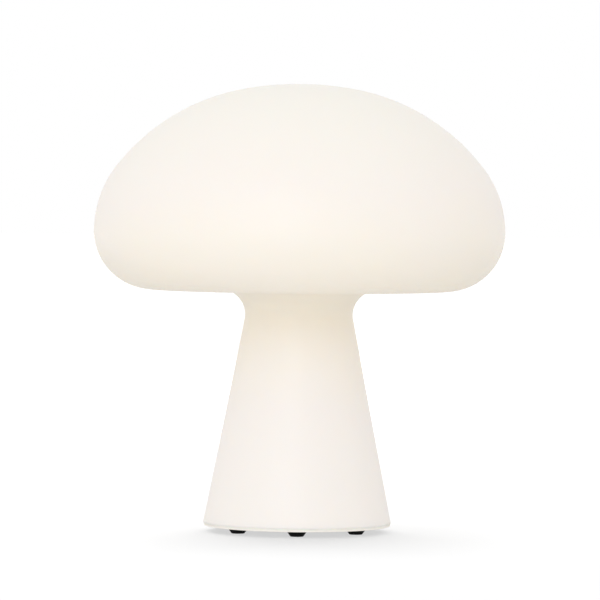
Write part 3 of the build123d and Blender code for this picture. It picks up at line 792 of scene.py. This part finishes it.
# %% [markdown]
# ## Cross-head screws
# Four groups of screws hold the lamp together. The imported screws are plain, so here each one gets its thread
# and the cross in its head. The thread is a saw-tooth in the section, which is close enough for a fine
# pitch. The cross is cut by a boolean of two bars, as a punch would press it. Where the screws stand is read
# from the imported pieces, one separate solid at a time.

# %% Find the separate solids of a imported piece
def solid_boxes(node):
    """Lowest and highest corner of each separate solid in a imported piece."""
    mesh = bmesh.new()
    mesh.from_mesh(frame["nodes"][node].data)
    bmesh.ops.remove_doubles(mesh, verts=mesh.verts, dist=merge_distance)
    boxes = []
    for start in mesh.verts:
        if start.tag:
            continue
        start.tag = True
        solid = [start]
        for vertex in solid:
            for edge in vertex.link_edges:
                neighbour = edge.other_vert(vertex)
                if not neighbour.tag:
                    neighbour.tag = True
                    solid.append(neighbour)
        corners = [Vector(map(pick, zip(*(vertex.co for vertex in solid)))) for pick in (min, max)]
        boxes.append(corners)
    mesh.free()
    return boxes


print("lowest corners of the board screws in mm:", [in_mm(low) for low, high in solid_boxes("board_screws")])

# %% Press a cross into the head of a screw
cross_inputs = {
    "Cross Span": "NodeSocketFloat",
    "Cross Width": "NodeSocketFloat",
    "Cross Depth": "NodeSocketFloat",
}


def pressed_cross(tree, screw, given):
    """Cut two crossed bars out of a screw; half of each lies outside the head, so a bar is twice as high."""
    height = add_node(tree, "ShaderNodeMath", {0: given["Cross Depth"], 1: 2.0}, operation="MULTIPLY")
    cut = add_node(
        tree, "GeometryNodeMeshBoolean", {"Mesh 1": screw}, operation="DIFFERENCE", solver="EXACT"
    )
    for along, across in (("Cross Span", "Cross Width"), ("Cross Width", "Cross Span")):
        sides = {"X": given[along], "Y": given[across], "Z": height.outputs[0]}
        size = add_node(tree, "ShaderNodeCombineXYZ", sides)
        bar = add_node(tree, "GeometryNodeMeshCube", {"Size": size.outputs["Vector"]})
        tree.links.new(bar.outputs["Mesh"], cut.inputs["Mesh 2"])
    return cut.outputs["Mesh"]


print("inputs of a cross:", list(cross_inputs))

# %% A tree that sets cross-head screws on points
def screw_tree():
    """Geometry tree that presses a cross into a turned screw and sets copies on points."""
    tree, given, result = geometry_tree(
        "cross_head_screws", {**body_inputs, **cross_inputs, "Places": "NodeSocketObject"}
    )
    screw = pressed_cross(tree, turned_group(tree, given), given)
    places = add_node(tree, "GeometryNodeObjectInfo", {"Object": given["Places"]})
    end_tree(tree, copies_on(tree, places.outputs["Geometry"], screw), given, result)
    return tree


cross_head = screw_tree()
print("tree ready:", cross_head.name, "with", len(cross_head.nodes), "nodes")

# %% Section of a threaded screw
thread_depth_share = 0.12
head_chamfer = 0.0004


def screw_points(head_radius, head_height, shank_radius, length, pitch):
    """Half section of a screw that points down, with the top of its head at height 0."""
    root = shank_radius * (1 - 2 * thread_depth_share)
    points = [
        (0, 0),
        (head_radius - head_chamfer, 0),
        (head_radius, -head_chamfer),
        (head_radius, -head_height),
    ]
    turns = int((length - head_height) / pitch)
    for number in range(turns):
        top = -head_height - number * pitch
        points += [(root, top), (shank_radius, top - pitch / 2)]
    return [*points, (root, -length), (0, -length)]


print("a thread is cut to a depth of", 2 * thread_depth_share, "times its shank's radius")

# %% Points where the heads of the screws go
def head_places(name, boxes, points_up):
    """Object with one point in the middle of each screw's head, on its outer face."""
    spots = [
        ((low.x + high.x) / 2, (low.y + high.y) / 2, low.z if points_up else high.z) for low, high in boxes
    ]
    mesh = bpy.data.meshes.new(name)
    mesh.from_pydata(spots, [], [])
    places = bpy.data.objects.new(name, mesh)
    bpy.context.scene.collection.objects.link(places)
    return places


print("screws in the base:", len(solid_boxes("base_screws")))

# %% Sizes of the screws
screw_kinds = {
    "base_screws": {"shank": 0.0030, "head": 0.0020, "pitch": 0.0010, "points_up": True},
    "board_screws": {"shank": 0.0022, "head": 0.0014, "pitch": 0.0008, "points_up": False},
    "post_screws": {"shank": 0.0030, "head": 0.0020, "pitch": 0.0010, "points_up": False},
    "head_screws": {"shank": 0.0025, "head": 0.0016, "pitch": 0.0009, "points_up": False},
}
cross_span_share = 1.2
cross_width_share = 0.3
cross_depth_share = 0.6
print("groups of screws:", list(screw_kinds))

# %% Make the four groups of screws
for node, kind in screw_kinds.items():
    boxes = solid_boxes(node)
    low, high = boxes[0]
    head_radius = (high.x - low.x) / 2
    points = screw_points(head_radius, kind["head"], kind["shank"] / 2, high.z - low.z, kind["pitch"])
    if kind["points_up"]:
        points = [(radius, -height) for radius, height in reversed(points)]
    section = section_curve(node + "_section", points)
    places = head_places(node + "_places", boxes, kind["points_up"])
    screws = run_tree(
        cross_head,
        "threaded_" + node,
        sharp_angle=30,
        section=section,
        segments=32,
        material=finishes["steel"],
        cross_span=cross_span_share * head_radius,
        cross_width=cross_width_share * head_radius,
        cross_depth=cross_depth_share * kind["head"],
        places=places,
    )
    bpy.data.objects.remove(section)
    bpy.data.objects.remove(places)
    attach(screws, "lamp")
    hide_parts(node)

# %% [markdown]
# ## Floor and backdrop
# The lamp stands on a white sweep, and the only mark on it is a soft shadow close round the base. More light
# would make any floor white, but it would bleach the glass too. So light that bounces meets plain white
# paint, and what the camera sees, directly or by way of a reflection or glass, is a darker paint with a glow
# of its own: in full light their sum is white, and in the shadow it stays grey. Further off the glow alone
# is white, so the floor runs into the background without an edge.

# %% Tell what is seen from what only carries light
def seen_directly(tree):
    """1 for rays from the camera, or by way of a reflection or glass, and 0 for rays that carry light."""
    path = add_node(tree, "ShaderNodeLightPath").outputs
    either = add_node(
        tree, "ShaderNodeMath", {0: path["Is Camera Ray"], 1: path["Is Glossy Ray"]}, operation="MAXIMUM"
    )
    any_of = add_node(
        tree, "ShaderNodeMath", {0: either.outputs[0], 1: path["Is Transmission Ray"]}, operation="MAXIMUM"
    )
    return any_of.outputs[0]


print("ray helper ready:", seen_directly.__name__)

# %% Floor paint that keeps the shadow
pure_white = (1.0, 1.0, 1.0)
floor_paint = 0.96
floor_shown = 0.158
floor_glow = 0.608
glow_start = 0.3
glow_end = 1.5


def floor_finish():
    """White paint that carries light as paint does, and looks white but for the lamp's shadow."""
    material, tree, shader, place = new_finish("studio_floor")
    seen = seen_directly(tree)
    paint = add_node(
        tree, "ShaderNodeMapRange", {"Value": seen, "To Min": floor_paint, "To Max": floor_shown}
    )
    tree.links.new(paint.outputs["Result"], shader.inputs["Base Color"])
    distance = add_node(tree, "ShaderNodeVectorMath", {0: place}, operation="LENGTH").outputs["Value"]
    reach = {"From Min": glow_start, "From Max": glow_end, "To Min": floor_glow, "To Max": 1.0}
    glow = add_node(
        tree, "ShaderNodeMapRange", {"Value": distance, **reach}, interpolation_type="SMOOTHSTEP"
    )
    shown = add_node(tree, "ShaderNodeMath", {0: glow.outputs["Result"], 1: seen}, operation="MULTIPLY")
    tree.links.new(shown.outputs[0], shader.inputs["Emission Strength"])
    set_constants(shader, {"Roughness": 0.9, "Specular IOR Level": 0.0, "Emission Color": (*pure_white, 1)})
    return material


studio_paint = floor_finish()
print("finish:", studio_paint.name)

# %% Lay the floor
floor_side = 24.0
half = floor_side / 2
floor_corners = [(-half, -half, 0), (half, -half, 0), (half, half, 0), (-half, half, 0)]
floor_mesh = bpy.data.meshes.new("floor")
floor_mesh.from_pydata(floor_corners, [], [(0, 1, 2, 3)])
floor_mesh.materials.append(studio_paint)
floor = bpy.data.objects.new("floor", floor_mesh)
bpy.context.scene.collection.objects.link(floor)
floor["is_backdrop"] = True
print("floor side in m:", floor_side)

# %% [markdown]
# ## Studio light
# The pale glass stands in a white room, which lights it from all around. A slightly cool soft box above the
# camera draws the faint sheen down the stem, and a second one further to the left leaves the right side a
# little darker. Their levels are plain, so a painted colour renders about as it is written. Two more boxes
# light the floor alone, a large one overhead and a low, wide one behind, and with them the shadow gathers
# round the base and runs a little forwards. Light linking keeps both off the lamp, and without bounces none
# of their light comes back from the floor.

# %% White room
def white_room(level):
    """World that lights at one level, and looks white when it is seen directly."""
    world = bpy.data.worlds.new("white_room")
    world.use_nodes = True
    tree = world.node_tree
    background = tree.nodes["Background"]
    strength = add_node(
        tree, "ShaderNodeMapRange", {"Value": seen_directly(tree), "To Min": level, "To Max": 1.0}
    )
    tree.links.new(strength.outputs["Result"], background.inputs["Strength"])
    set_constants(background, {"Color": (*pure_white, 1)})
    bpy.context.scene.world = world


white_room(level=0.95)
print("room:", bpy.context.scene.world.name)

# %% Two soft boxes for the lamp
cool_white = (0.85, 0.91, 1.0)


def soft_box(name, place, width, height, watts, colour):
    """Area light that faces the middle of the lamp."""
    light = bpy.data.lights.new(name, "AREA")
    light.shape = "RECTANGLE"
    light.size = width
    light.size_y = height
    light.energy = watts
    light.color = colour
    box = bpy.data.objects.new(name, light)
    box.location = place
    aim = Vector((0, 0, glass_high.z / 2)) - box.location
    box.rotation_euler = aim.to_track_quat("-Z", "Y").to_euler()
    bpy.context.scene.collection.objects.link(box)
    return box


soft_box("camera_box", (-0.3, -2.5, 1.0), width=0.5, height=1.6, watts=8.6, colour=cool_white)
soft_box("left_box", (-1.3, -2.2, 0.7), width=0.7, height=1.2, watts=3.5, colour=cool_white)
print("watts on the lamp:", [round(light.energy, 1) for light in bpy.data.lights])

# %% Two boxes for the floor alone
floor_only = bpy.data.collections.new("floor_only")
floor_only.objects.link(floor)


def light_floor_alone(box):
    """Keep a light off everything but the floor, and keep its light from bouncing on."""
    box.light_linking.receiver_collection = floor_only
    box.data.cycles.max_bounces = 0
    box.data.cycles.use_multiple_importance_sampling = False


overhead_box = soft_box("overhead_box", (-0.3, 0.2, 2.0), width=2.4, height=2.4, watts=64, colour=pure_white)
rear_box = soft_box("rear_box", (0, 2.2, 1.0), width=4.0, height=0.5, watts=227, colour=pure_white)
light_floor_alone(overhead_box)
light_floor_alone(rear_box)
print("lights:", [light.name for light in bpy.data.lights])

# %% [markdown]
# ## Camera
# The photograph was taken from far away with a long lens, a little above the lamp's middle and tilted
# slightly down, and the camera was rolled by half a degree. Placing our camera the same way makes the two
# pictures line up.

# %% Camera at the photograph's angle
view_distance = 2.563
view_height = 0.196
view_shift = 0.00055
view_tilt = 1.546
view_roll = 0.53

camera_data = bpy.data.cameras.new("photo_camera")
camera_data.sensor_width = 36.0
camera_data.lens = 281.0
camera = bpy.data.objects.new("photo_camera", camera_data)
camera.location = (view_shift, -view_distance, view_height)
camera.rotation_euler = [math.radians(angle) for angle in (90 - view_tilt, 0, 0)]
camera.rotation_euler.rotate_axis("Z", math.radians(view_roll))
bpy.context.scene.collection.objects.link(camera)
bpy.context.scene.camera = camera
bpy.context.scene.view_settings.view_transform = "Standard"
print("camera at", [round(x, 3) for x in camera.location])

# %% [markdown]
# ## The size of the finished model
# The finished model has to fill the same box as the imported one. Both boxes are kept, and the size of the
# finished one is printed.

# %% Keep both boxes and print the finished size
boxes = {"cad": cad_box, "visual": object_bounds()}
print("visual size in mm:", in_mm(boxes["visual"][1] - boxes["visual"][0]))
